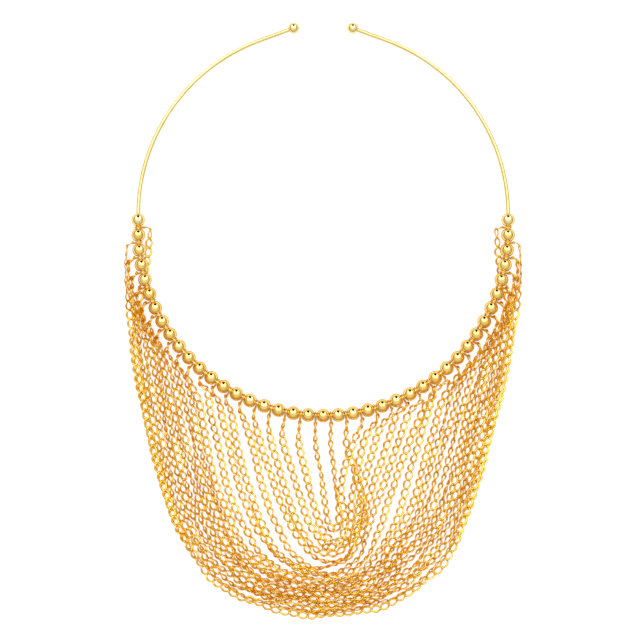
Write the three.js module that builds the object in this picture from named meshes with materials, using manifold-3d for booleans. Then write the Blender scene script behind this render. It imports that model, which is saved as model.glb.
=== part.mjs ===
// Bib necklace: a stiff open collar of wire, a row of round beads on it, and curb chains that hang
// from the gaps between the beads as nested loops. It lies on a flat surface at z = 0, in millimetres,
// with +Y towards the opening at the back of the neck and +Z up.
import * as THREE from 'three';
import { mergeVertices } from 'three/addons/utils/BufferGeometryUtils.js';
import Module from 'manifold-3d';

const wasm = await Module();
wasm.setup();

// Collar
const collarRadius = 67;        // centre of the wire, in its lower and upper arcs
const collarStraight = 5.8;     // straight side between the two arcs
const wireDiameter = 1.5;
const backGap = 21.4;           // between the centres of the end balls
const endStraight = 13;         // the last stretch of wire at each end
const endBallDiameter = 4;
const collarSlope = 0.036;      // rise towards the back, where the sides rest on the outermost chain

// Beads
const beadDiameter = 5;
const beadPitch = 5.46;
const beadCount = 41;
const boreClearance = 0.35;     // between the wire and a bead's bore, all round

// Chains
const chainWidth = 3.1;
const chainThickness = 0.8;
const linkWire = 0.5;
const endLinkRadius = 1.2;      // inside the end link's round ends, to the centre of its wire
const endLinkReach = 2.95;      // from the collar's wire to the far end of the end link
const restGap = 0.35;           // between pieces that rest on each other
const sideGap = 0.2;            // between chains that lie side by side
const leadOut = 3.9;            // from the collar's wire, over which a chain runs straight out
const deepestDroop = 0.45;      // radians, of an end link from the wire towards the surface
const settleLength = 13;        // over which a chain turns from upright to its lie
const sharpestTurn = 0.72;      // radians between sections of a chain
const sharpestRoll = 1.1;       // radians of roll between sections of a chain
const shingleRoll = -0.95;      // radians, of the chains of the dense band, which lean on each other
const pileRoll = -1.45;         // radians, of the chains of the pile at the bottom
const nestPitch = 1.1;          // between the chains that run side by side past the gaps of later ones
const nestClearance = 0.5;      // more, between them and the chain that starts at the gap
const pileTop = -107;           // the chains start to stand on edge below this y
const pileFull = -121;          // and do so fully below this one

const chainCount = (beadCount - 1) / 2;
const gold = { collar: 0xe8bd58, bead: 0xf2c75c, chain: 0xe5a93a };

// Routes
// Each route runs from a gap on the left to its twin on the right. The outermost chain starts inside
// the collar and passes under the beads of its sides.
const outerRoutes = {
  1: [
    [-63.4, -7.5], [-63.9, -13], [-65.2, -20], [-67.4, -30], [-68.2, -42], [-66.6, -58], [-63.4, -74],
    [-59, -92], [-52.6, -110], [-42, -127.4], [-23, -138.8], [1, -142.3], [24, -138], [42, -125.6],
    [50.5, -110], [56.5, -92], [61.3, -74], [65.3, -58], [68.2, -42], [67.4, -30], [65.2, -20],
    [63.9, -13], [63.4, -7.5],
  ],
  2: [
    [-70.3, -33], [-68, -52], [-63.7, -73], [-58.8, -93], [-52.3, -111],
    [-41.2, -127], [-22, -137.7], [2.5, -141.2], [24, -136.6], [41.3, -124.6], [49.8, -110],
    [55.7, -93], [60.7, -74], [66, -52], [70, -33],
  ],
};
// The chains of the dense band lie between these three, which have the same stages.
const bandRoutes = {
  3: [
    [-68, -35], [-65.3, -53], [-61.6, -73], [-56.8, -92], [-50.3, -109.5], [-39.5, -125.5],
    [-21.5, -136], [2.5, -139.9], [23.5, -134.6],
    [39.7, -122.6], [47.8, -109], [53.6, -92], [58.6, -74], [63.2, -55], [67.5, -35],
  ],
  7: [
    [-58.2, -52], [-55.2, -65], [-52.3, -78], [-48.3, -92], [-42.3, -107.5], [-32.5, -122.5],
    [-17, -132.3], [2.5, -135.4], [19.5, -131],
    [31, -119.5], [40.5, -107.5], [46.3, -92], [50.8, -76], [54.6, -62], [57.8, -51],
  ],
  11: [
    [-45, -66], [-43.3, -75], [-41.3, -85], [-38.8, -96], [-33.8, -107], [-27, -120],
    [-13, -127.6], [2.5, -131], [15.5, -126.8],
    [24, -118], [30.5, -107], [33.7, -98], [37, -86], [40.3, -75], [43, -65],
  ],
};
const innerRoutes = {
  12: [
    [-42.5, -60], [-40.5, -70], [-38, -82], [-35, -95], [-30, -108], [-23, -119.5], [-12, -126.2],
    [2.5, -129.7], [14.2, -125.6], [21.5, -117.5], [27, -107], [30.8, -93], [34.6, -80], [38, -68], [41, -60],
  ],
  13: [
    [-38.3, -64], [-36.5, -72], [-33.5, -84], [-29, -100], [-21.5, -115], [-11, -124.6],
    [2.5, -128.2], [13, -124.2], [19.2, -115.5], [23, -103], [27.5, -90], [32, -78], [37, -66.5],
  ],
  14: [
    [-34, -67], [-31.5, -80], [-27.5, -94], [-22.5, -109], [-14.5, -121], [-5, -126.8],
    [5, -126.4], [13.4, -119.6], [17.2, -108], [21, -97], [25.5, -85], [28.6, -76], [31.2, -68.5],
  ],
  15: [
    [-29.4, -70], [-26, -80], [-22.5, -94], [-17.5, -109], [-10, -121], [-1, -125.2],
    [7.6, -123], [13, -115.4], [15.8, -103], [20, -90], [24, -78], [27.6, -68],
  ],
  16: [
    [-24.8, -72.5], [-21.5, -84], [-17, -97.5], [-11.5, -109.5], [-5.4, -119.4], [2, -123.2],
    [8.6, -119.6], [12, -109.5], [14, -97], [17.4, -84.5], [21.5, -73],
  ],
  17: [
    [-19.8, -75], [-16.5, -88], [-12, -102], [-7, -113.4], [-0.8, -120.2], [5.2, -119.8],
    [9.2, -112], [10.6, -100], [12.8, -88], [15.6, -77],
  ],
  18: [
    [-15, -77], [-11.5, -90], [-7.5, -102], [-3.2, -112.4], [1.6, -117.6], [6, -115.6], [7.8, -107.6],
    [6.4, -98], [8.2, -88], [11.8, -77.5],
  ],
  19: [
    [-9, -79], [-6.2, -91], [-2.5, -106], [2, -114.4], [7.6, -115.6], [13, -110.6], [14.4, -102],
    [11.6, -91], [8.2, -78.5],
  ],
  20: [
    [-2.8, -80], [-0.8, -92], [1, -104], [2.4, -110], [4.4, -111.4], [5.8, -108], [4.8, -98],
    [3.6, -88], [2.6, -79],
  ],
};
// What lies on what: the first is laid on the surface, and each later one on those before it.
const layingOrder = [1, 2, 3, 5, 7, 9, 11, 13, 15, 17, 19, 20, 18, 16, 14, 12, 10, 8, 6, 4];
// How many gaps of later chains a chain runs past on edge, close to the beads.
const nestedGaps = { 2: 3, 3: 3, 4: 3, 5: 2, 6: 2, 7: 1, 8: 1, 9: 1, 10: 1 };
const flatChains = [1, 2, 11, 12, 13, 14, 15, 16, 17, 18, 19];

const routeRadius = 67;         // of the wire beside which the routes are drawn
const spanParts = 40;           // fine steps in each span of a route
const nearlyParallel = 0.9;     // cosine of the angle between chains that lie along each other
const profileSteps = 6;         // across the overlap of two chains that lie along each other
const wireSides = 8;
const wireStep = 2.4;           // bead pitches, between sections of the wire past the beads
const beadRows = 4;
const ballRows = 5;
const ballSides = 10;
const endLinkSides = 5;
const endLinkSteps = 10;
const weldDistance = 1e-4;      // between corners that count as one
const nearZero = 1e-6;
const quarter = collarRadius * Math.PI / 2;
const bandStages = bandRoutes[3].length;
const bandGuides = Object.keys(bandRoutes).map(Number);

// A tube's path given by its sections: each has a point and a roll about the path, where roll 0
// keeps the section's width level.
class SectionPath extends THREE.Curve {
  constructor(sections) {
    super();
    this.sections = sections;
  }

  getSpacedPoints() {
    return this.sections.map((section) => section.point.clone());
  }

  computeFrenetFrames() {
    const frames = { tangents: [], normals: [], binormals: [] };
    const up = new THREE.Vector3(0, 0, 1);
    this.sections.forEach((section, i) => {
      const before = this.sections[Math.max(i - 1, 0)].point;
      const after = this.sections[Math.min(i + 1, this.sections.length - 1)].point;
      const tangent = after.clone().sub(before).normalize();
      const side = new THREE.Vector3().crossVectors(tangent, up).normalize();
      const normal = side.applyAxisAngle(tangent, section.roll);
      frames.tangents.push(tangent);
      frames.normals.push(normal);
      frames.binormals.push(new THREE.Vector3().crossVectors(tangent, normal));
    });
    return frames;
  }
}

function sweep(outline, sections) {
  const path = new SectionPath(sections);
  return new THREE.ExtrudeGeometry(new THREE.Shape(outline), {
    steps: sections.length - 1, extrudePath: path, bevelEnabled: false,
  });
}

function toSolid(geometry) {
  const bare = geometry.clone();
  bare.deleteAttribute('normal');
  bare.deleteAttribute('uv');
  const merged = mergeVertices(bare, weldDistance);
  return new wasm.Manifold(new wasm.Mesh({
    numProp: 3,
    vertProperties: new Float32Array(merged.attributes.position.array),
    triVerts: new Uint32Array(merged.index.array),
  }));
}

function toGeometry(solid) {
  const mesh = solid.getMesh();
  const geometry = new THREE.BufferGeometry();
  const points = [];
  for (let i = 0; i < mesh.numVert; i++) {
    for (let axis = 0; axis < 3; axis++) points.push(mesh.vertProperties[i * mesh.numProp + axis]);
  }
  geometry.setAttribute('position', new THREE.Float32BufferAttribute(points, 3));
  geometry.setIndex(new THREE.Uint32BufferAttribute(mesh.triVerts, 1));
  geometry.computeVertexNormals();
  return geometry;
}

function makeMesh(name, geometry, color) {
  const material = new THREE.MeshStandardMaterial({ color, metalness: 1, roughness: 0.2, flatShading: true });
  const mesh = new THREE.Mesh(geometry, material);
  mesh.name = name;
  return mesh;
}

// The collar's wire at a distance along it from the middle of the front: its point and the
// direction that faces away from the neck.
function collarAt(distance) {
  const along = Math.abs(distance);
  const side = Math.sign(distance) || 1;
  const point = new THREE.Vector3();
  const outward = new THREE.Vector3();
  if (along <= quarter) {
    const angle = along / collarRadius;
    outward.set(Math.sin(angle), -Math.cos(angle), 0);
    point.copy(outward).multiplyScalar(collarRadius);
    point.y -= collarStraight / 2;
  } else if (along <= quarter + collarStraight) {
    outward.set(1, 0, 0);
    point.set(collarRadius, along - quarter - collarStraight / 2, 0);
  } else {
    const arcEnd = collarArcEnd();
    const arc = Math.min((along - quarter - collarStraight) / collarRadius, arcEnd);
    const past = along - quarter - collarStraight - arc * collarRadius;
    outward.set(Math.cos(arc), Math.sin(arc), 0);
    point.copy(outward).multiplyScalar(collarRadius);
    point.y += collarStraight / 2;
    point.add(new THREE.Vector3(-Math.sin(arc), Math.cos(arc), 0).multiplyScalar(past));
  }
  point.x *= side;
  outward.x *= side;
  const front = -collarRadius - collarStraight / 2;
  point.z = beadDiameter / 2 + (point.y - front) * collarSlope;
  return { point, outward };
}

// The angle at which the upper arc gives way to the straight end, so that the balls stand backGap apart.
function collarArcEnd() {
  const reach = Math.hypot(collarRadius, endStraight);
  return Math.acos(backGap / 2 / reach) - Math.atan(endStraight / collarRadius);
}

function collarHalfLength() {
  return quarter + collarStraight + collarArcEnd() * collarRadius + endStraight;
}

// The distance along the wire of gap number n, between beads n and n + 1.
function gapDistance(n) {
  return (n - beadCount / 2) * beadPitch;
}

function beadDistance(n) {
  return (n - (beadCount + 1) / 2) * beadPitch;
}

// A body turned about the wire at a distance along it.
function placeOnWire(mesh, distance) {
  const step = beadPitch / 2;
  const along = collarAt(distance + step).point.sub(collarAt(distance - step).point).normalize();
  mesh.position.copy(collarAt(distance).point);
  mesh.quaternion.setFromUnitVectors(new THREE.Vector3(0, 1, 0), along);
  return mesh;
}

// A half circle of the ball's outline from one end of the axis to the other, cut off at a bore.
function ballOutline(radius, boreRadius, parts) {
  const start = Math.asin(boreRadius / radius);
  const points = [];
  for (let i = 0; i <= parts; i++) {
    const angle = start + (Math.PI - 2 * start) * i / parts;
    points.push(new THREE.Vector2(radius * Math.sin(angle), -radius * Math.cos(angle)));
  }
  return points;
}

function ballGeometry(diameter) {
  const outline = ballOutline(diameter / 2, 0, ballRows);
  outline[0].x = 0;
  outline[outline.length - 1].x = 0;
  return new THREE.LatheGeometry(outline, ballSides);
}

function makeBead(n) {
  const boreRadius = wireDiameter / 2 + boreClearance;
  const outline = ballOutline(beadDiameter / 2, boreRadius, beadRows);
  outline.push(outline[0].clone());
  const name = `bead_${String(n).padStart(2, '0')}`;
  const mesh = makeMesh(name, new THREE.LatheGeometry(outline, ballSides), gold.bead);
  return placeOnWire(mesh, beadDistance(n));
}

// Sections of the wire stand at the middle of every gap between beads, where the end links go round it.
function collarSections() {
  const half = collarHalfLength();
  const distances = [];
  for (let n = 1; n < beadCount; n++) distances.push(gapDistance(n));
  const last = gapDistance(beadCount - 1);
  const count = Math.round((half - last) / (wireStep * beadPitch));
  for (let i = 1; i <= count; i++) {
    const distance = last + (half - last) * i / count;
    distances.push(distance);
    distances.unshift(-distance);
  }
  return distances.map((distance) => ({ point: collarAt(distance).point, roll: 0 }));
}

function makeCollar() {
  const outline = [];
  for (let i = 0; i < wireSides; i++) {
    const angle = Math.PI * 2 * i / wireSides;
    outline.push(new THREE.Vector2(Math.cos(angle), Math.sin(angle)).multiplyScalar(wireDiameter / 2));
  }
  let solid = toSolid(sweep(outline, collarSections()));
  const half = collarHalfLength();
  const stop = beadDistance(beadCount);
  for (const [distance, diameter] of [
    [-half, endBallDiameter], [half, endBallDiameter], [-stop, beadDiameter], [stop, beadDiameter],
  ]) {
    const ball = placeOnWire(new THREE.Object3D(), distance);
    ball.updateMatrix();
    solid = solid.add(toSolid(ballGeometry(diameter).applyMatrix4(ball.matrix)));
  }
  return makeMesh('collar', toGeometry(solid), gold.collar);
}

function blendRoutes(k) {
  const upper = bandGuides.find((guide) => guide >= k);
  const lower = bandGuides.filter((guide) => guide <= k).pop();
  const share = upper === lower ? 0 : (k - lower) / (upper - lower);
  const points = [];
  for (let i = 0; i < bandStages; i++) {
    const [x1, y1] = bandRoutes[lower][i];
    const [x2, y2] = bandRoutes[upper][i];
    points.push([x1 + (x2 - x1) * share, y1 + (y2 - y1) * share]);
  }
  return points;
}

// A drawn point keeps its distance along the wire and its distance out from it.
function besideWire([x, y]) {
  const below = y + collarStraight / 2;
  const { point, outward } = collarAt(Math.atan2(x, -below) * routeRadius);
  return point.addScaledVector(outward, Math.hypot(x, below) - routeRadius).setZ(0);
}

function routeOf(k) {
  const drawn = outerRoutes[k] ?? innerRoutes[k] ?? blendRoutes(k);
  return drawn.map(besideWire);
}

// The points of a chain's route outside the gaps that it runs past, from its own gap onwards.
function nestPoints(k, side) {
  const points = [];
  for (let i = 1; i <= (nestedGaps[k] ?? 0); i++) {
    const gap = side < 0 ? k + i : beadCount - k - i;
    const { point, outward } = collarAt(gapDistance(gap));
    points.push(point.addScaledVector(outward, leadOut + nestClearance + nestPitch * i).setZ(0));
  }
  return points;
}

// Where a chain meets its end link, the direction in which that link leaves the wire, and the end of
// the chain's straight lead.
function chainEnd(k, gap) {
  const { point, outward } = collarAt(gapDistance(gap));
  const away = k === 1 ? outward.clone().negate() : outward;
  const reach = endLinkReach - linkWire / 2;
  const fall = Math.max(point.z - chainWidth / 2 - sideGap, 0);
  const droop = Math.min(Math.asin(Math.min(fall / reach, 1)), deepestDroop);
  const link = away.clone().multiplyScalar(Math.cos(droop)).setZ(-Math.sin(droop));
  const start = point.clone().addScaledVector(link, reach);
  return { wire: point, link, start, lead: point.clone().addScaledVector(away, leadOut) };
}

const smooth = (t) => {
  const c = Math.min(Math.max(t, 0), 1);
  return c * c * (3 - 2 * c);
};

// A chain hangs upright at its end links, settles to its own lie, and stands on edge in the pile.
function rollAt(k, y, fromEnd) {
  const lie = flatChains.includes(k) ? 0 : shingleRoll;
  const piled = k === 1 ? 0 : smooth((y - pileTop) / (pileFull - pileTop));
  const roll = lie + (pileRoll - lie) * piled;
  const upright = -Math.PI / 2;
  const nested = (nestedGaps[k] ?? 0) * beadPitch;
  return upright + (roll - upright) * smooth((fromEnd - nested) / settleLength);
}

// The sections of a chain in plan: one at each point of its route, and one between two of them where
// it turns or rolls.
function planSections(k) {
  const ends = [chainEnd(k, k), chainEnd(k, beadCount - k)];
  const [first, last] = ends.map((end) => [end.start, end.lead].map((point) => point.clone().setZ(0)));
  const points = [
    ...first, ...nestPoints(k, -1), ...routeOf(k), ...nestPoints(k, 1).reverse(), ...last.reverse(),
  ];
  const curve = new THREE.CatmullRomCurve3(points, false, 'centripetal');
  const lengths = curve.getLengths((points.length - 1) * spanParts);
  const total = lengths[lengths.length - 1];
  const sectionAt = (stage) => {
    const distance = lengths[Math.round(stage * spanParts)];
    const share = stage / (points.length - 1);
    const point = curve.getPoint(share);
    const roll = rollAt(k, point.y, Math.min(distance, total - distance));
    return { point, roll, tangent: curve.getTangent(share) };
  };
  const sections = [sectionAt(0)];
  for (let stage = 1; stage < points.length; stage++) {
    const before = sections[sections.length - 1];
    const here = sectionAt(stage);
    const turns = before.tangent.angleTo(here.tangent) > sharpestTurn;
    const rolls = Math.abs(before.roll - here.roll) > sharpestRoll;
    if (turns || rolls) sections.push(sectionAt(stage - 0.5));
    sections.push(here);
  }
  sections[0].height = ends[0].start.z;
  sections[sections.length - 1].height = ends[1].start.z;
  return sections;
}

// Half of a rolled section's width and height.
function halfExtents(roll) {
  const c = Math.abs(Math.cos(roll));
  const s = Math.abs(Math.sin(roll));
  return {
    across: (chainWidth * c + chainThickness * s) / 2,
    up: (chainWidth * s + chainThickness * c) / 2,
  };
}

// The height of a rolled section's upper side above its middle, at a place across it, with half of
// the gap that it keeps.
function upperSide(roll, x) {
  const c = Math.max(Math.cos(roll), nearZero);
  const s = -Math.sin(roll);
  const steep = Math.max(Math.abs(s), nearZero);
  const byWidth = ((chainWidth + restGap) / 2 - Math.sign(s) * x * c) / steep;
  const byThickness = ((chainThickness + sideGap) / 2 + x * s) / c;
  return Math.min(byWidth, byThickness);
}

// How far a section has to be above another that it lies on, or nothing where it lies beside it.
function riseOver(upper, lower) {
  const dx = upper.x - lower.x;
  const dy = upper.y - lower.y;
  const reach = upper.across + lower.across + sideGap;
  if (dx * dx + dy * dy > reach * reach) return -Infinity;
  const alike = upper.side.x * lower.side.x + upper.side.y * lower.side.y;
  if (alike < nearlyParallel) return upper.up + lower.up + restGap;
  const offset = dx * lower.side.x + dy * lower.side.y;
  const from = Math.max(-lower.across, offset - upper.across);
  const to = Math.min(lower.across, offset + upper.across);
  if (to < from) return -Infinity;
  let rise = -Infinity;
  for (let i = 0; i <= profileSteps; i++) {
    const x = from + (to - from) * i / profileSteps;
    rise = Math.max(rise, upperSide(lower.roll, x) + upperSide(upper.roll, offset - x));
  }
  return rise;
}

// Points about a millimetre apart along a chain's straight steps, each with its step's number.
function samplesOf(sections) {
  const samples = [];
  for (let i = 0; i + 1 < sections.length; i++) {
    const a = sections[i];
    const b = sections[i + 1];
    const run = b.point.clone().sub(a.point).setZ(0);
    const parts = Math.max(Math.ceil(run.length()), 1);
    const side = { x: run.y / run.length(), y: -run.x / run.length() };
    for (let j = 0; j <= parts; j++) {
      const t = j / parts;
      const roll = a.roll + (b.roll - a.roll) * t;
      samples.push({
        step: i, t, side, roll,
        x: a.point.x + (b.point.x - a.point.x) * t,
        y: a.point.y + (b.point.y - a.point.y) * t,
        ...halfExtents(roll),
      });
    }
  }
  return samples;
}

// Lays a chain on the surface and on the chains already there, and gives each section its height.
function layChain(sections, laid) {
  const last = sections.length - 1;
  const heights = sections.map((section) => halfExtents(section.roll).up);
  for (const sample of samplesOf(sections)) {
    let needed = sample.up;
    for (const other of laid) needed = Math.max(needed, other.z + riseOver(sample, other));
    heights[sample.step] = Math.max(heights[sample.step], needed);
    heights[sample.step + 1] = Math.max(heights[sample.step + 1], needed);
  }
  heights[0] = sections[0].height;
  heights[last] = sections[last].height;
  return heights;
}

function layChains() {
  const chains = {};
  const laid = [];
  for (const k of layingOrder) {
    const sections = planSections(k);
    const heights = layChain(sections, laid);
    for (const sample of samplesOf(sections)) {
      const z = heights[sample.step] * (1 - sample.t) + heights[sample.step + 1] * sample.t;
      laid.push({ ...sample, z });
    }
    chains[k] = sections.map(({ point, roll }, i) => ({ point: point.clone().setZ(heights[i]), roll }));
  }
  return chains;
}

// The link round the wire: a long link that stands upright in the gap between two beads.
function endLink(end) {
  const geometry = new THREE.TorusGeometry(endLinkRadius, linkWire / 2, endLinkSides, endLinkSteps);
  const position = geometry.attributes.position;
  const stretch = endLinkReach - endLinkRadius - linkWire / 2;
  for (let i = 0; i < position.count; i++) {
    if (position.getX(i) > nearZero) position.setX(i, position.getX(i) + stretch);
  }
  const up = new THREE.Vector3(0, 0, 1);
  const across = new THREE.Vector3().crossVectors(end.link, up).normalize();
  const rise = new THREE.Vector3().crossVectors(across, end.link);
  const turn = new THREE.Matrix4().makeBasis(end.link, rise, across).setPosition(end.wire);
  return geometry.applyMatrix4(turn);
}

function chainOutline() {
  const w = chainWidth / 2;
  const t = chainThickness / 2;
  return [
    [w, 0], [w - t, t], [-w + t, t], [-w, 0], [-w + t, -t], [w - t, -t],
  ].map(([x, y]) => new THREE.Vector2(x, y));
}

function makeChain(k, sections) {
  const body = toSolid(sweep(chainOutline(), sections));
  const left = toSolid(endLink(chainEnd(k, k)));
  const right = toSolid(endLink(chainEnd(k, beadCount - k)));
  return makeMesh(`chain_${String(k).padStart(2, '0')}`, toGeometry(body.add(left).add(right)), gold.chain);
}

function makeNecklace() {
  const pieces = new THREE.Group();
  pieces.add(makeCollar());
  for (let n = 2; n < beadCount; n++) pieces.add(makeBead(n));
  const chains = layChains();
  for (let k = 1; k <= chainCount; k++) pieces.add(makeChain(k, chains[k]));
  pieces.updateMatrixWorld(true);
  const box = new THREE.Box3().setFromObject(pieces, true);
  const centre = box.getCenter(new THREE.Vector3());
  pieces.position.set(-centre.x, -centre.y, -box.min.z);
  const necklace = new THREE.Group();
  necklace.name = 'bib_necklace';
  necklace.add(pieces);
  return necklace;
}

export default makeNecklace();
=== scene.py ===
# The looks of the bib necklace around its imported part: smooth beads and collar, and chains of real
# curb links that follow the routes of the part's chains. Measures are in millimetres, as in the part's
# source, and become metres where a mesh is made.
import math
import random

import bpy
import numpy as np
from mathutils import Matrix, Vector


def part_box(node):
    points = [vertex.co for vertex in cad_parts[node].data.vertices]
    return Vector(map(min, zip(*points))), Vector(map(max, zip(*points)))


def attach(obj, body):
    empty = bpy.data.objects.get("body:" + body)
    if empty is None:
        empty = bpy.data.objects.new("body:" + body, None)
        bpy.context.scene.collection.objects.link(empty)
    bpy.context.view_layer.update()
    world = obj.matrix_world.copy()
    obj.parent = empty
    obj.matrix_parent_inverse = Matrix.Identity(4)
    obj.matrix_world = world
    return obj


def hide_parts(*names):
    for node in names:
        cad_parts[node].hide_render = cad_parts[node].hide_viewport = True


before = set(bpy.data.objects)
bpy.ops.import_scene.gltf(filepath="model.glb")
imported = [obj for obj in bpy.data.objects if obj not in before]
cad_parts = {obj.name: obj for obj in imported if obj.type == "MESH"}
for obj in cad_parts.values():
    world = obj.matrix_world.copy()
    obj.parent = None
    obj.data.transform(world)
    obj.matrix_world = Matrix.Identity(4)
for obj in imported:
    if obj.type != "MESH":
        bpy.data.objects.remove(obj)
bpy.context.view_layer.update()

MM = 0.001
NEAR_ZERO = 1e-6
SEED = 20
IMAGE_WIDTH = 233.5             # of the photograph's frame, at the height of the beads
IMAGE_CENTRE = (-0.62, -35.73)  # of the photograph's frame, in the frame of the routes
CAMERA_HEIGHT = 1100
FLOOR_GLOW = 0.8                # of the light table that the necklace lies on

# Collar and beads
COLLAR_RADIUS = 67
COLLAR_STRAIGHT = 5.8
WIRE_DIAMETER = 1.5
BACK_GAP = 21.4
END_STRAIGHT = 13
END_BALL_DIAMETER = 4
COLLAR_SLOPE = 0.036
BEAD_DIAMETER = 5
BEAD_PITCH = 5.46
BEAD_COUNT = 41
BORE_RADIUS = WIRE_DIAMETER / 2 + 0.35
POLE_RADIUS = 0.02              # of the pinholes at the poles of a ball without a bore, inside the wire
WIRE_RINGS = 361
WIRE_SIDES = 16
BALL_RINGS = 18
BALL_SEGMENTS = 32

# Chains
CHAIN_WIDTH = 3.1
CHAIN_THICKNESS = 0.8
LINK_WIRE = 0.5
LINK_PITCH = 3.35
LINK_LENGTH = 4.35
LINK_SEGMENTS = 24
LINK_SIDES = 8
LINK_TWIST = math.radians(52)   # each way, of a link's two ends about its long axis
LINK_PRESS = 0.74               # how far the twisted link is pressed flat
FLAT_PRESS = 0.42               # the same, for the chains that lie flat one upon the other
PRESSED_CHAINS = (1, 2)
FLAT_SWING = 0.2                # share of the wander of their lie that these chains keep
ROUND_WIRE = 0.80               # of the links that show, whose twist stands a little proud of the solid
END_LINK_RADIUS = 1.2
END_LINK_REACH = 2.95
END_LINK_SEGMENTS = 28
END_LINK_TURN = math.radians(5)
END_LINK_WIRE = 0.58            # thin enough to stand clear of the beads on both sides
REST_GAP = 0.35
SIDE_GAP = 0.2
LEAD_OUT = 3.9
DEEPEST_DROOP = 0.45
SETTLE_LENGTH = 13
SHARPEST_TURN = 0.72
SHARPEST_ROLL = 1.1
SHINGLE_ROLL = -0.95
PILE_ROLL = -1.45
NEST_PITCH = 1.1
NEST_CLEARANCE = 0.5
PILE_TOP = -107
PILE_FULL = -121
NEARLY_PARALLEL = 0.9
PROFILE_STEPS = 6
TWIST_WANDER = ((0.38, 47), (0.28, 19))     # radians and mm: how the chains' lie varies along them
PILE_LEAN = 0.42                # radians by which the pile's chains lean more than their solids
PATH_WANDER = ((0.45, 31), (0.3, 13))       # mm and mm: how they stray sideways, most in the pile
CALM_STRAY = 0.3                # share of that straying outside the pile
ROLL_JITTER = 0.09              # radians, from link to link
PATH_STEPS = 4                  # in each mm of a chain
HEIGHT_REACH = 14               # steps to each side over which a chain's heights are softened
FLOOR_CLEARANCE = 0.11          # more, under the links that lie lowest
SPAN_PARTS = 40                 # fine steps in each span of a route
CHAIN_COUNT = (BEAD_COUNT - 1) // 2
QUARTER = COLLAR_RADIUS * math.pi / 2

# Looks: light and deep colour, edge tint, roughness and grain
GOLDS = {
    "gold_wire": ((0.88, 0.68, 0.28), (0.84, 0.60, 0.20), (0.9, 0.68, 0.3), 0.10, 120),
    "gold_bead": ((0.92, 0.65, 0.21), (0.85, 0.54, 0.13), (0.62, 0.36, 0.09), 0.06, 160),
    "gold_chain": ((0.86, 0.53, 0.075), (0.75, 0.385, 0.025), (0.85, 0.6, 0.2), 0.12, 260),
}
PATCH_ENDS = (0.32, 0.62)       # of the noise between the deep and the light colour
PATCH_DETAIL = 3
MARK_FINENESS = 9               # polishing marks to one patch of colour
MARK_DETAIL = 4
MARK_GLOSS = (0.6, 1.5)         # of the roughness, in and between the marks
MARK_STRENGTH = 0.06
MARK_DEPTH = 0.00004            # m

# Stage
SENSOR_WIDTH = 36
CLIP_RANGE = (0.05, 20)         # m
FLOOR_REACH = 3.0               # m, from the middle to each side
FLOOR_SHADES = (0.30, 0.32)
FLOOR_GRAIN = 40
FLOOR_ROUGHNESS = 0.9
FLOOR_SHINE = 0.1
TENT_STOPS = ((0.0, 0.26), (0.25, 0.52), (0.5, 0.84), (1.0, 1.05))     # height in the sky and brightness
PANEL = ((0.0, 0.60, 0.80), 34, 50)         # direction, and degrees to where it fades and ends
PANEL_LIGHT = (3.2, 3.2, 3.9, 1)
OPENING = ((0.0, 0.87, 0.49), 19, 25)
OPENING_LIGHT = (0.01, 0.01, 0.01, 1)
SEAM_ENDS = (0.05, 0.13)        # across the panel, where the seam fades and ends
SEAM_SHADE = 0.85
SEAM_LIGHT = (0.3, 0.3, 0.3, 1)

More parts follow.
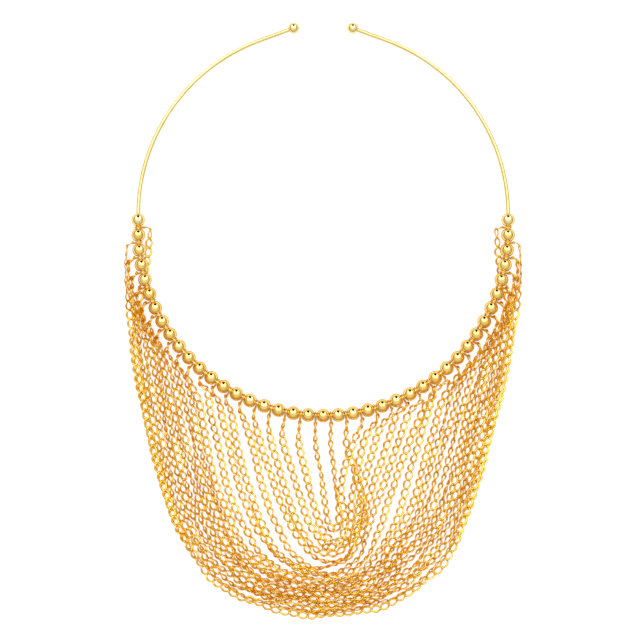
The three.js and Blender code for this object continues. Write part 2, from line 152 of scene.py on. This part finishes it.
# Routes of the part's chains, from the left gap to the right one.
ROUTES = {
    1: [(-63.4, -7.5), (-63.9, -13), (-65.2, -20), (-67.4, -30), (-68.2, -42), (-66.6, -58),
        (-63.4, -74), (-59, -92), (-52.6, -110), (-42, -127.4), (-23, -138.8), (1, -142.3), (24, -138),
        (42, -125.6), (50.5, -110), (56.5, -92), (61.3, -74), (65.3, -58), (68.2, -42), (67.4, -30),
        (65.2, -20), (63.9, -13), (63.4, -7.5)],
    2: [(-70.3, -33), (-68, -52), (-63.7, -73), (-58.8, -93), (-52.3, -111), (-41.2, -127), (-22, -137.7),
        (2.5, -141.2), (24, -136.6), (41.3, -124.6), (49.8, -110), (55.7, -93), (60.7, -74), (66, -52),
        (70, -33)],
    3: [(-68, -35), (-65.3, -53), (-61.6, -73), (-56.8, -92), (-50.3, -109.5), (-39.5, -125.5),
        (-21.5, -136), (2.5, -139.9), (23.5, -134.6), (39.7, -122.6), (47.8, -109), (53.6, -92),
        (58.6, -74), (63.2, -55), (67.5, -35)],
    7: [(-58.2, -52), (-55.2, -65), (-52.3, -78), (-48.3, -92), (-42.3, -107.5), (-32.5, -122.5),
        (-17, -132.3), (2.5, -135.4), (19.5, -131), (31, -119.5), (40.5, -107.5), (46.3, -92),
        (50.8, -76), (54.6, -62), (57.8, -51)],
    11: [(-45, -66), (-43.3, -75), (-41.3, -85), (-38.8, -96), (-33.8, -107), (-27, -120),
         (-13, -127.6), (2.5, -131), (15.5, -126.8), (24, -118), (30.5, -107), (33.7, -98), (37, -86),
         (40.3, -75), (43, -65)],
    12: [(-42.5, -60), (-40.5, -70), (-38, -82), (-35, -95), (-30, -108), (-23, -119.5), (-12, -126.2),
         (2.5, -129.7), (14.2, -125.6), (21.5, -117.5), (27, -107), (30.8, -93), (34.6, -80), (38, -68),
         (41, -60)],
    13: [(-38.3, -64), (-36.5, -72), (-33.5, -84), (-29, -100), (-21.5, -115), (-11, -124.6),
         (2.5, -128.2), (13, -124.2), (19.2, -115.5), (23, -103), (27.5, -90), (32, -78), (37, -66.5)],
    14: [(-34, -67), (-31.5, -80), (-27.5, -94), (-22.5, -109), (-14.5, -121), (-5, -126.8),
         (5, -126.4), (13.4, -119.6), (17.2, -108), (21, -97), (25.5, -85), (28.6, -76), (31.2, -68.5)],
    15: [(-29.4, -70), (-26, -80), (-22.5, -94), (-17.5, -109), (-10, -121), (-1, -125.2),
         (7.6, -123), (13, -115.4), (15.8, -103), (20, -90), (24, -78), (27.6, -68)],
    16: [(-24.8, -72.5), (-21.5, -84), (-17, -97.5), (-11.5, -109.5), (-5.4, -119.4), (2, -123.2),
         (8.6, -119.6), (12, -109.5), (14, -97), (17.4, -84.5), (21.5, -73)],
    17: [(-19.8, -75), (-16.5, -88), (-12, -102), (-7, -113.4), (-0.8, -120.2), (5.2, -119.8),
         (9.2, -112), (10.6, -100), (12.8, -88), (15.6, -77)],
    18: [(-15, -77), (-11.5, -90), (-7.5, -102), (-3.2, -112.4), (1.6, -117.6), (6, -115.6),
         (7.8, -107.6), (6.4, -98), (8.2, -88), (11.8, -77.5)],
    19: [(-9, -79), (-6.2, -91), (-2.5, -106), (2, -114.4), (7.6, -115.6), (13, -110.6), (14.4, -102),
         (11.6, -91), (8.2, -78.5)],
    20: [(-2.8, -80), (-0.8, -92), (1, -104), (2.4, -110), (4.4, -111.4), (5.8, -108), (4.8, -98),
         (3.6, -88), (2.6, -79)],
}
BAND_GUIDES = (3, 7, 11)        # the chains of the dense band lie between these
LAYING_ORDER = (1, 2, 3, 5, 7, 9, 11, 13, 15, 17, 19, 20, 18, 16, 14, 12, 10, 8, 6, 4)
NESTED_GAPS = {2: 3, 3: 3, 4: 3, 5: 2, 6: 2, 7: 1, 8: 1, 9: 1, 10: 1}
FLAT_CHAINS = (1, 2, 11, 12, 13, 14, 15, 16, 17, 18, 19)


# Geometry of the collar

def collar_arc_end():
    reach = math.hypot(COLLAR_RADIUS, END_STRAIGHT)
    return math.acos(BACK_GAP / 2 / reach) - math.atan(END_STRAIGHT / COLLAR_RADIUS)


def collar_half_length():
    return QUARTER + COLLAR_STRAIGHT + collar_arc_end() * COLLAR_RADIUS + END_STRAIGHT


def collar_at(distance):
    """The wire's point at a distance from the middle of the front, and the direction off the neck."""
    along = abs(distance)
    if along <= QUARTER:
        angle = along / COLLAR_RADIUS
        outward = np.array([math.sin(angle), -math.cos(angle), 0.0])
        point = outward * COLLAR_RADIUS - [0, COLLAR_STRAIGHT / 2, 0]
    elif along <= QUARTER + COLLAR_STRAIGHT:
        outward = np.array([1.0, 0.0, 0.0])
        point = np.array([COLLAR_RADIUS, along - QUARTER - COLLAR_STRAIGHT / 2, 0.0])
    else:
        arc = min((along - QUARTER - COLLAR_STRAIGHT) / COLLAR_RADIUS, collar_arc_end())
        past = along - QUARTER - COLLAR_STRAIGHT - arc * COLLAR_RADIUS
        outward = np.array([math.cos(arc), math.sin(arc), 0.0])
        point = outward * COLLAR_RADIUS + [0, COLLAR_STRAIGHT / 2, 0]
        point = point + np.array([-math.sin(arc), math.cos(arc), 0.0]) * past
    if distance < 0:
        point[0] *= -1
        outward[0] *= -1
    front = -COLLAR_RADIUS - COLLAR_STRAIGHT / 2
    point[2] = BEAD_DIAMETER / 2 + (point[1] - front) * COLLAR_SLOPE
    return point, outward


def wire_direction(distance, step=BEAD_PITCH / 2):
    return unit(collar_at(distance + step)[0] - collar_at(distance - step)[0])


def gap_distance(n):
    return (n - BEAD_COUNT / 2) * BEAD_PITCH


def bead_distance(n):
    return (n - (BEAD_COUNT + 1) / 2) * BEAD_PITCH


def unit(vector):
    return vector / np.linalg.norm(vector)


# Routes and lies of the chains, as in the part's source

def blend_routes(k):
    upper = min(guide for guide in BAND_GUIDES if guide >= k)
    lower = max(guide for guide in BAND_GUIDES if guide <= k)
    share = 0 if upper == lower else (k - lower) / (upper - lower)
    pairs = zip(ROUTES[lower], ROUTES[upper])
    return [(a[0] + (b[0] - a[0]) * share, a[1] + (b[1] - a[1]) * share) for a, b in pairs]


def nest_points(k, side):
    points = []
    for i in range(1, NESTED_GAPS.get(k, 0) + 1):
        gap = k + i if side < 0 else BEAD_COUNT - k - i
        point, outward = collar_at(gap_distance(gap))
        points.append((point + outward * (LEAD_OUT + NEST_CLEARANCE + NEST_PITCH * i))[:2])
    return points


def chain_end(k, gap):
    wire, outward = collar_at(gap_distance(gap))
    away = -outward if k == 1 else outward
    reach = END_LINK_REACH - LINK_WIRE / 2
    fall = max(wire[2] - CHAIN_WIDTH / 2 - SIDE_GAP, 0)
    droop = min(math.asin(min(fall / reach, 1)), DEEPEST_DROOP)
    link = away * math.cos(droop) + np.array([0, 0, -math.sin(droop)])
    return {"wire": wire, "link": link, "start": wire + link * reach, "lead": wire + away * LEAD_OUT}


def smooth(t):
    c = np.clip(t, 0, 1)
    return c * c * (3 - 2 * c)


def roll_at(k, y, from_end):
    lie = 0 if k in FLAT_CHAINS else SHINGLE_ROLL
    piled = 0 if k == 1 else smooth((y - PILE_TOP) / (PILE_FULL - PILE_TOP))
    roll = lie + (PILE_ROLL - lie) * piled
    upright = -math.pi / 2
    nested = NESTED_GAPS.get(k, 0) * BEAD_PITCH
    return upright + (roll - upright) * smooth((from_end - nested) / SETTLE_LENGTH)


class Route:
    """A centripetal Catmull-Rom curve in plan. A stage is a place on it, counted in its points."""

    def __init__(self, points):
        p = np.array(points, float)
        p = np.vstack([2 * p[0] - p[1], p, 2 * p[-1] - p[-2]])
        d = ((p[1:] - p[:-1]) ** 2).sum(1)[:, None] ** 0.25
        x0, x1, x2, x3 = p[:-3], p[1:-2], p[2:-1], p[3:]
        d0, d1, d2 = d[:-2], d[1:-1], d[2:]
        t1 = ((x1 - x0) / d0 - (x2 - x0) / (d0 + d1) + (x2 - x1) / d1) * d1
        t2 = ((x2 - x1) / d1 - (x3 - x1) / (d1 + d2) + (x3 - x2) / d2) * d1
        self.cubics = (x1, t1, -3 * x1 + 3 * x2 - 2 * t1 - t2, 2 * x1 - 2 * x2 + t1 + t2)
        self.last = len(x1)

    def _span(self, stage):
        span = np.clip(np.floor(stage).astype(int), 0, self.last - 1)
        return span, (np.asarray(stage) - span)[..., None]

    def point(self, stage):
        i, u = self._span(stage)
        a, b, c, d = (cubic[i] for cubic in self.cubics)
        return a + u * (b + u * (c + u * d))

    def tangent(self, stage):
        i, u = self._span(stage)
        _, b, c, d = (cubic[i] for cubic in self.cubics)
        return b + u * (2 * c + u * 3 * d)


def plan_chain(k):
    """A chain's route with its fine stages and lengths, and the stages, rolls and ends of its sections."""
    ends = [chain_end(k, k), chain_end(k, BEAD_COUNT - k)]
    middle = ROUTES.get(k) or blend_routes(k)
    points = [ends[0]["start"][:2], ends[0]["lead"][:2], *nest_points(k, -1), *middle,
              *nest_points(k, 1)[::-1], ends[1]["lead"][:2], ends[1]["start"][:2]]
    route = Route(points)
    fine = np.linspace(0, route.last, route.last * SPAN_PARTS + 1)
    steps = np.linalg.norm(np.diff(route.point(fine), axis=0), axis=1)
    lengths = np.concatenate([[0], np.cumsum(steps)])

    def roll(stage):
        distance = lengths[round(stage * SPAN_PARTS)]
        from_end = min(distance, lengths[-1] - distance)
        return float(roll_at(k, route.point(np.array(stage))[1], from_end))

    stages = [0.0]
    for stage in range(1, route.last + 1):
        before, here = (unit(route.tangent(np.array(float(s)))) for s in (stages[-1], stage))
        turns = math.acos(np.clip(before @ here, -1, 1)) > SHARPEST_TURN
        if turns or abs(roll(stages[-1]) - roll(stage)) > SHARPEST_ROLL:
            stages.append(stage - 0.5)
        stages.append(float(stage))
    return {"k": k, "route": route, "fine": fine, "lengths": lengths, "stages": np.array(stages),
            "rolls": np.array([roll(stage) for stage in stages]), "ends": ends}


def half_extents(roll):
    c, s = np.abs(np.cos(roll)), np.abs(np.sin(roll))
    return (CHAIN_WIDTH * c + CHAIN_THICKNESS * s) / 2, (CHAIN_WIDTH * s + CHAIN_THICKNESS * c) / 2


def upper_side(roll, x):
    c = np.maximum(np.cos(roll), NEAR_ZERO)
    s = -np.sin(roll)
    by_width = ((CHAIN_WIDTH + REST_GAP) / 2 - np.sign(s) * x * c) / np.maximum(np.abs(s), NEAR_ZERO)
    by_thickness = ((CHAIN_THICKNESS + SIDE_GAP) / 2 + x * s) / c
    return np.minimum(by_width, by_thickness)


def samples_of(plan):
    """Points about a millimetre apart along a chain's steps: step, share, x, y, side x, side y, roll."""
    rows = []
    points = plan["route"].point(plan["stages"])
    for i in range(len(points) - 1):
        run = points[i + 1] - points[i]
        length = np.linalg.norm(run)
        for t in np.linspace(0, 1, max(math.ceil(length), 1) + 1):
            x, y = points[i] + run * t
            roll = plan["rolls"][i] * (1 - t) + plan["rolls"][i + 1] * t
            rows.append((i, t, x, y, run[1] / length, -run[0] / length, roll))
    return np.array(rows)


def highest_rest(sample, laid):
    """How high a sample has to be above all the laid samples: their heights stand in the last column."""
    _, _, x, y, side_x, side_y, roll = sample
    across, up = half_extents(roll)
    other_across, other_up = half_extents(laid[:, 6])
    dx, dy = x - laid[:, 2], y - laid[:, 3]
    near = dx ** 2 + dy ** 2 <= (across + other_across + SIDE_GAP) ** 2
    if not near.any():
        return up
    laid, dx, dy, other_across, other_up = laid[near], dx[near], dy[near], other_across[near], other_up[near]
    alike = side_x * laid[:, 4] + side_y * laid[:, 5] >= NEARLY_PARALLEL
    offset = dx * laid[:, 4] + dy * laid[:, 5]
    start = np.maximum(-other_across, offset - across)
    end = np.minimum(other_across, offset + across)
    share = np.linspace(0, 1, PROFILE_STEPS + 1)[:, None]
    x = start + (end - start) * share
    along = (upper_side(laid[:, 6], x) + upper_side(roll, offset - x)).max(0)
    along = np.where(end < start, -np.inf, along)
    rise = np.where(alike, along, up + other_up + REST_GAP)
    return max(up, (laid[:, 7] + rise).max())


def lay_chains():
    """Each chain's plan with the heights of its sections, laid in turn as the part's chains are."""
    plans = {}
    laid = np.zeros((0, 8))
    for k in LAYING_ORDER:
        plan = plan_chain(k)
        heights = half_extents(plan["rolls"])[1]
        samples = samples_of(plan)
        for sample in samples:
            step = int(sample[0])
            heights[step:step + 2] = np.maximum(heights[step:step + 2], highest_rest(sample, laid))
        heights[0], heights[-1] = (end["start"][2] for end in plan["ends"])
        step = samples[:, 0].astype(int)
        z = heights[step] * (1 - samples[:, 1]) + heights[step + 1] * samples[:, 1]
        laid = np.vstack([laid, np.column_stack([samples, z])])
        plan["heights"] = heights
        plans[k] = plan
    return plans


# Meshes

def offset_to_row():
    """From the frame of the routes to the row's: the middle bead is in both."""
    low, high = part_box("bead_%02d" % ((BEAD_COUNT + 1) // 2))
    middle = np.array(low + high) / 2 / MM
    return middle - collar_at(0)[0]


OFFSET = offset_to_row()


def make_piece(name, parts, material, nodes):
    """One smooth mesh out of (points, quads) parts, which stands for nodes of the part."""
    points = np.concatenate([p for p, _ in parts])
    starts = np.cumsum([0] + [len(p) for p, _ in parts[:-1]])
    quads = np.concatenate([q + start for (_, q), start in zip(parts, starts)])
    mesh = bpy.data.meshes.new(name)
    mesh.from_pydata(((points + OFFSET) * MM).tolist(), [], quads.tolist())
    mesh.validate()
    mesh.shade_smooth()
    mesh.materials.append(material)
    piece = bpy.data.objects.new(name, mesh)
    bpy.context.collection.objects.link(piece)
    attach(piece, "root")
    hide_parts(*nodes)
    return piece


def grid_quads(rows, columns, closed_rows=False):
    """Faces of a grid of points whose columns run round."""
    quads = []
    for i in range(rows if closed_rows else rows - 1):
        for j in range(columns):
            a, b = i * columns, (i + 1) % rows * columns
            quads.append((a + j, a + (j + 1) % columns, b + (j + 1) % columns, b + j))
    return np.array(quads)


def ring_points(centres, outwards, radius):
    """Points round the wire of a ring that lies level."""
    turn = np.linspace(0, 2 * math.pi, LINK_SIDES, endpoint=False)[None, :, None]
    rounds = np.cos(turn) * outwards[:, None] + np.sin(turn) * np.array([0, 0, 1.0])
    return (centres[:, None] + radius * rounds).reshape(-1, 3)


def curb_link(press):
    """A link round the origin: long axis x, width y, with its ends twisted each way, pressed flat."""
    a, b = (LINK_LENGTH - ROUND_WIRE) / 2, (CHAIN_WIDTH - ROUND_WIRE) / 2
    angle = np.linspace(0, 2 * math.pi, LINK_SEGMENTS, endpoint=False)
    centres = np.column_stack([a * np.cos(angle), b * np.sin(angle), 0 * angle])
    outwards = np.column_stack([b * np.cos(angle), a * np.sin(angle), 0 * angle])
    outwards /= np.linalg.norm(outwards, axis=1)[:, None]
    points = ring_points(centres, outwards, ROUND_WIRE / 2)
    twist = LINK_TWIST * points[:, 0] / a
    c, s = np.cos(twist), np.sin(twist)
    y = points[:, 1] * c - points[:, 2] * s
    z = points[:, 1] * s + points[:, 2] * c
    return np.column_stack([points[:, 0], y, z * press]), grid_quads(LINK_SEGMENTS, LINK_SIDES, True)


def end_link(end):
    """The long link that stands upright round the wire in the gap between two beads."""
    angle = np.linspace(0, 2 * math.pi, END_LINK_SEGMENTS, endpoint=False)
    outwards = np.column_stack([np.cos(angle), np.sin(angle), 0 * angle])
    centres = outwards * END_LINK_RADIUS
    centres[np.cos(angle) > NEAR_ZERO, 0] += END_LINK_REACH - END_LINK_RADIUS - LINK_WIRE / 2
    points = ring_points(centres, outwards, END_LINK_WIRE / 2)
    along = end["link"]
    across = unit(np.cross(along, [0, 0, 1]))
    rise = np.cross(across, along)
    turned = across * math.cos(END_LINK_TURN) + rise * math.sin(END_LINK_TURN)
    basis = np.array([along, np.cross(turned, along), turned])
    return points @ basis + end["wire"], grid_quads(END_LINK_SEGMENTS, LINK_SIDES, True)


def soften(values, reach):
    """A running mean that keeps both ends."""
    padded = np.pad(values, reach, mode="edge")
    kernel = np.hanning(2 * reach + 3)[1:-1]
    mean = np.convolve(padded, kernel / kernel.sum(), mode="valid")
    weight = smooth(np.minimum(np.arange(len(values)), np.arange(len(values))[::-1]) / reach)
    return values * (1 - weight) + mean * weight


def wander(lengths, draw, waves):
    """A slow random swing along a chain: a sum of waves, each with its size and its length."""
    return sum(size * np.sin(2 * math.pi * (lengths / wave + draw.random())) for size, wave in waves)


def chain_parts(plan, link, draw):
    """The links of a chain along its route, with its two end links."""
    k, route, fine, lengths = plan["k"], plan["route"], plan["fine"], plan["lengths"]
    even = np.linspace(0, lengths[-1], int(lengths[-1] * PATH_STEPS) + 1)
    stages = np.interp(even, lengths, fine)
    z = soften(np.interp(stages, plan["stages"], plan["heights"]), HEIGHT_REACH)
    plan_path = route.point(stages)
    rolls = roll_at(k, plan_path[:, 1], np.minimum(even, even[-1] - even))
    free = smooth(np.minimum(even, even[-1] - even) / (2 * SETTLE_LENGTH))
    piled = smooth((plan_path[:, 1] - PILE_TOP) / (PILE_FULL - PILE_TOP))
    swing = FLAT_SWING if k in PRESSED_CHAINS else 1
    rolls = rolls + free * swing * (wander(even, draw, TWIST_WANDER) + PILE_LEAN * piled)
    run = np.gradient(plan_path, axis=0)
    side = np.column_stack([run[:, 1], -run[:, 0]]) / np.linalg.norm(run, axis=1)[:, None]
    stray = wander(even, draw, PATH_WANDER) * free * (CALM_STRAY + (1 - CALM_STRAY) * piled)
    plan_path = plan_path + side * stray[:, None]
    thick, wide = np.ptp(link[0][:, 2]) / 2, np.ptp(link[0][:, 1]) / 2
    reach = np.abs(np.cos(rolls)) * thick + np.abs(np.sin(rolls)) * (wide - thick / 2)
    z = np.maximum(z, reach + FLOOR_CLEARANCE)
    path = np.column_stack([plan_path, z])
    run = np.concatenate([[0], np.cumsum(np.linalg.norm(np.diff(path, axis=0), axis=1))])
    count = round(run[-1] / LINK_PITCH)
    at = lambda s: np.array([np.interp(s, run, path[:, i]) for i in range(3)])
    parts = []
    for i in range(count):
        before, middle, after = (at((i + share) * run[-1] / count) for share in (0, 0.5, 1))
        tangent = unit(after - before)
        side = unit(np.cross(tangent, [0, 0, 1]))
        roll = np.interp((i + 0.5) * run[-1] / count, run, rolls) + draw.gauss(0, ROLL_JITTER)
        width = side * math.cos(roll) + np.cross(tangent, side) * math.sin(roll)
        basis = np.array([tangent, width, np.cross(tangent, width)])
        parts.append((link[0] @ basis + (before + 2 * middle + after) / 4, link[1]))
    return parts + [end_link(end) for end in plan["ends"]]


def tube(points, radius):
    points = np.array(points)
    runs = np.gradient(points, axis=0)
    rows = []
    for point, run in zip(points, runs):
        along = unit(run)
        side = unit(np.cross(along, [0, 0, 1]))
        rise = np.cross(side, along)
        angle = np.linspace(0, 2 * math.pi, WIRE_SIDES, endpoint=False)[:, None]
        rows.append(point + radius * (np.cos(angle) * side + np.sin(angle) * rise))
    return np.concatenate(rows), grid_quads(len(points), WIRE_SIDES)


def ball(distance, diameter, bored):
    """A round bead on the wire, with the wall of its bore if it is bored through."""
    opening = BORE_RADIUS if bored else POLE_RADIUS
    start = math.asin(opening / (diameter / 2))
    angle = np.linspace(start, math.pi - start, BALL_RINGS)
    radii, heights = diameter / 2 * np.sin(angle), -diameter / 2 * np.cos(angle)
    if bored:
        radii, heights = np.append(radii, opening), np.append(heights, heights[0])
    turn = np.linspace(0, 2 * math.pi, BALL_SEGMENTS, endpoint=False)
    along = wire_direction(distance)
    side = unit(np.cross(along, [0, 0, 1]))
    rise = np.cross(side, along)
    rounds = np.cos(turn)[None, :, None] * side + np.sin(turn)[None, :, None] * rise
    points = heights[:, None, None] * along + radii[:, None, None] * rounds
    return points.reshape(-1, 3) + collar_at(distance)[0], grid_quads(len(radii), BALL_SEGMENTS)


def collar_parts():
    half = collar_half_length()
    stop = bead_distance(BEAD_COUNT)
    parts = [tube([collar_at(d)[0] for d in np.linspace(-half, half, WIRE_RINGS)], WIRE_DIAMETER / 2)]
    for distance, diameter in ((-half, END_BALL_DIAMETER), (half, END_BALL_DIAMETER),
                               (-stop, BEAD_DIAMETER), (stop, BEAD_DIAMETER)):
        parts.append(ball(distance, diameter, False))
    return parts


# Materials

def gold(name, light, deep, edge, rough, grain):
    """Polished gold plate: a little variation of colour and gloss, and fine polishing marks."""
    material = bpy.data.materials.new(name)
    material.use_nodes = True
    nodes, links = material.node_tree.nodes, material.node_tree.links
    shader = nodes["Principled BSDF"]
    shader.inputs["Metallic"].default_value = 1
    place = nodes.new("ShaderNodeTexCoord")
    patches = nodes.new("ShaderNodeTexNoise")
    patches.inputs["Scale"].default_value = grain
    patches.inputs["Detail"].default_value = PATCH_DETAIL
    ramp = nodes.new("ShaderNodeValToRGB")
    for element, position, color in zip(ramp.color_ramp.elements, PATCH_ENDS, (deep, light)):
        element.position = position
        element.color = (*color, 1)
    gloss = nodes.new("ShaderNodeMapRange")
    gloss.inputs["To Min"].default_value = rough * MARK_GLOSS[0]
    gloss.inputs["To Max"].default_value = rough * MARK_GLOSS[1]
    marks = nodes.new("ShaderNodeTexNoise")
    marks.inputs["Scale"].default_value = grain * MARK_FINENESS
    marks.inputs["Detail"].default_value = MARK_DETAIL
    bump = nodes.new("ShaderNodeBump")
    bump.inputs["Strength"].default_value = MARK_STRENGTH
    bump.inputs["Distance"].default_value = MARK_DEPTH
    shader.inputs["Specular Tint"].default_value = (*edge, 1)
    links.new(place.outputs["Object"], patches.inputs["Vector"])
    links.new(place.outputs["Object"], marks.inputs["Vector"])
    links.new(patches.outputs["Fac"], ramp.inputs["Fac"])
    links.new(ramp.outputs["Color"], shader.inputs["Base Color"])
    links.new(marks.outputs["Fac"], gloss.inputs["Value"])
    links.new(gloss.outputs["Result"], shader.inputs["Roughness"])
    links.new(marks.outputs["Fac"], bump.inputs["Height"])
    links.new(bump.outputs["Normal"], shader.inputs["Normal"])
    return material


def floor_material():
    material = bpy.data.materials.new("pale_floor")
    material.use_nodes = True
    nodes, links = material.node_tree.nodes, material.node_tree.links
    shader = nodes["Principled BSDF"]
    shader.inputs["Roughness"].default_value = FLOOR_ROUGHNESS
    shader.inputs["Specular IOR Level"].default_value = FLOOR_SHINE
    shader.inputs["Emission Color"].default_value = (1, 1, 1, 1)
    shader.inputs["Emission Strength"].default_value = FLOOR_GLOW
    noise = nodes.new("ShaderNodeTexNoise")
    noise.inputs["Scale"].default_value = FLOOR_GRAIN
    ramp = nodes.new("ShaderNodeValToRGB")
    for element, shade in zip(ramp.color_ramp.elements, FLOOR_SHADES):
        element.color = (shade, shade, shade, 1)
    links.new(noise.outputs["Fac"], ramp.inputs["Fac"])
    links.new(ramp.outputs["Color"], shader.inputs["Base Color"])
    return material


# Stage

def add_camera():
    camera = bpy.data.cameras.new("camera")
    camera.sensor_width = SENSOR_WIDTH
    camera.lens = camera.sensor_width * (CAMERA_HEIGHT - BEAD_DIAMETER / 2) / IMAGE_WIDTH
    camera.clip_start, camera.clip_end = CLIP_RANGE
    thing = bpy.data.objects.new("camera", camera)
    x, y = IMAGE_CENTRE[0] + OFFSET[0], IMAGE_CENTRE[1] + OFFSET[1]
    thing.location = (x * MM, y * MM, CAMERA_HEIGHT * MM)
    bpy.context.collection.objects.link(thing)
    bpy.context.scene.camera = thing


def add_floor():
    mesh = bpy.data.meshes.new("floor")
    s = FLOOR_REACH
    mesh.from_pydata([(-s, -s, 0), (s, -s, 0), (s, s, 0), (-s, s, 0)], [], [(0, 1, 2, 3)])
    mesh.materials.append(floor_material())
    floor = bpy.data.objects.new("floor", mesh)
    bpy.context.collection.objects.link(floor)


def world_spot(nodes, links, place, direction, inner, outer):
    """1 within the inner angle of a direction of the sky, falling to 0 at the outer one."""
    dot = nodes.new("ShaderNodeVectorMath")
    dot.operation = "DOT_PRODUCT"
    length = math.sqrt(sum(c * c for c in direction))
    dot.inputs[1].default_value = [c / length for c in direction]
    fade = nodes.new("ShaderNodeMapRange")
    fade.interpolation_type = "SMOOTHSTEP"
    fade.inputs["From Min"].default_value = math.cos(math.radians(outer))
    fade.inputs["From Max"].default_value = math.cos(math.radians(inner))
    links.new(place.outputs["Generated"], dot.inputs[0])
    links.new(dot.outputs["Value"], fade.inputs["Value"])
    return fade.outputs["Result"]


def add_world():
    """A soft white studio: a pale tent, a large bright panel towards the back, and a dark opening in it."""
    world = bpy.data.worlds.new("studio")
    bpy.context.scene.world = world
    world.use_nodes = True
    nodes, links = world.node_tree.nodes, world.node_tree.links
    background = nodes["Background"]
    place = nodes.new("ShaderNodeTexCoord")
    split = nodes.new("ShaderNodeSeparateXYZ")
    links.new(place.outputs["Generated"], split.inputs["Vector"])
    tent = nodes.new("ShaderNodeValToRGB")
    while len(tent.color_ramp.elements) < len(TENT_STOPS):
        tent.color_ramp.elements.new(0.5)
    for element, (position, level) in zip(tent.color_ramp.elements, TENT_STOPS):
        element.position = position
        element.color = (level, level, level, 1)
    links.new(split.outputs["Z"], tent.inputs["Fac"])
    panel = world_spot(nodes, links, place, *PANEL)
    opening = world_spot(nodes, links, place, *OPENING)
    bar = nodes.new("ShaderNodeMath")
    bar.operation = "ABSOLUTE"
    links.new(split.outputs["X"], bar.inputs[0])
    seam = nodes.new("ShaderNodeMapRange")
    seam.inputs["From Min"].default_value = SEAM_ENDS[0]
    seam.inputs["From Max"].default_value = SEAM_ENDS[1]
    seam.inputs["To Min"].default_value = SEAM_SHADE
    seam.inputs["To Max"].default_value = 0
    links.new(bar.outputs["Value"], seam.inputs["Value"])

    def mix(factor, first, second):
        node = nodes.new("ShaderNodeMix")
        node.data_type = "RGBA"
        links.new(factor, node.inputs["Factor"])
        for socket, value in (("A", first), ("B", second)):
            if isinstance(value, tuple):
                node.inputs[socket].default_value = value
            else:
                links.new(value, node.inputs[socket])
        return node.outputs["Result"]

    half_lit = mix(seam.outputs["Result"], PANEL_LIGHT, SEAM_LIGHT)
    lit = mix(panel, tent.outputs["Color"], half_lit)
    links.new(mix(opening, lit, OPENING_LIGHT), background.inputs["Color"])
    background.inputs["Strength"].default_value = 1.0


def main():
    add_camera()
    add_floor()
    add_world()
    bpy.context.scene.view_settings.view_transform = "Standard"
    golds = {slot: gold(slot, *look) for slot, look in GOLDS.items()}
    make_piece("wire_collar", collar_parts(), golds["gold_wire"], ["collar"])
    for n in range(2, BEAD_COUNT):
        parts = [ball(bead_distance(n), BEAD_DIAMETER, True)]
        make_piece("round_bead_%02d" % n, parts, golds["gold_bead"], ["bead_%02d" % n])
    draw = random.Random(SEED)
    plans = lay_chains()
    for k in range(1, CHAIN_COUNT + 1):
        link = curb_link(FLAT_PRESS if k in PRESSED_CHAINS else LINK_PRESS)
        parts = chain_parts(plans[k], link, draw)
        make_piece("curb_chain_%02d" % k, parts, golds["gold_chain"], ["chain_%02d" % k])


main()
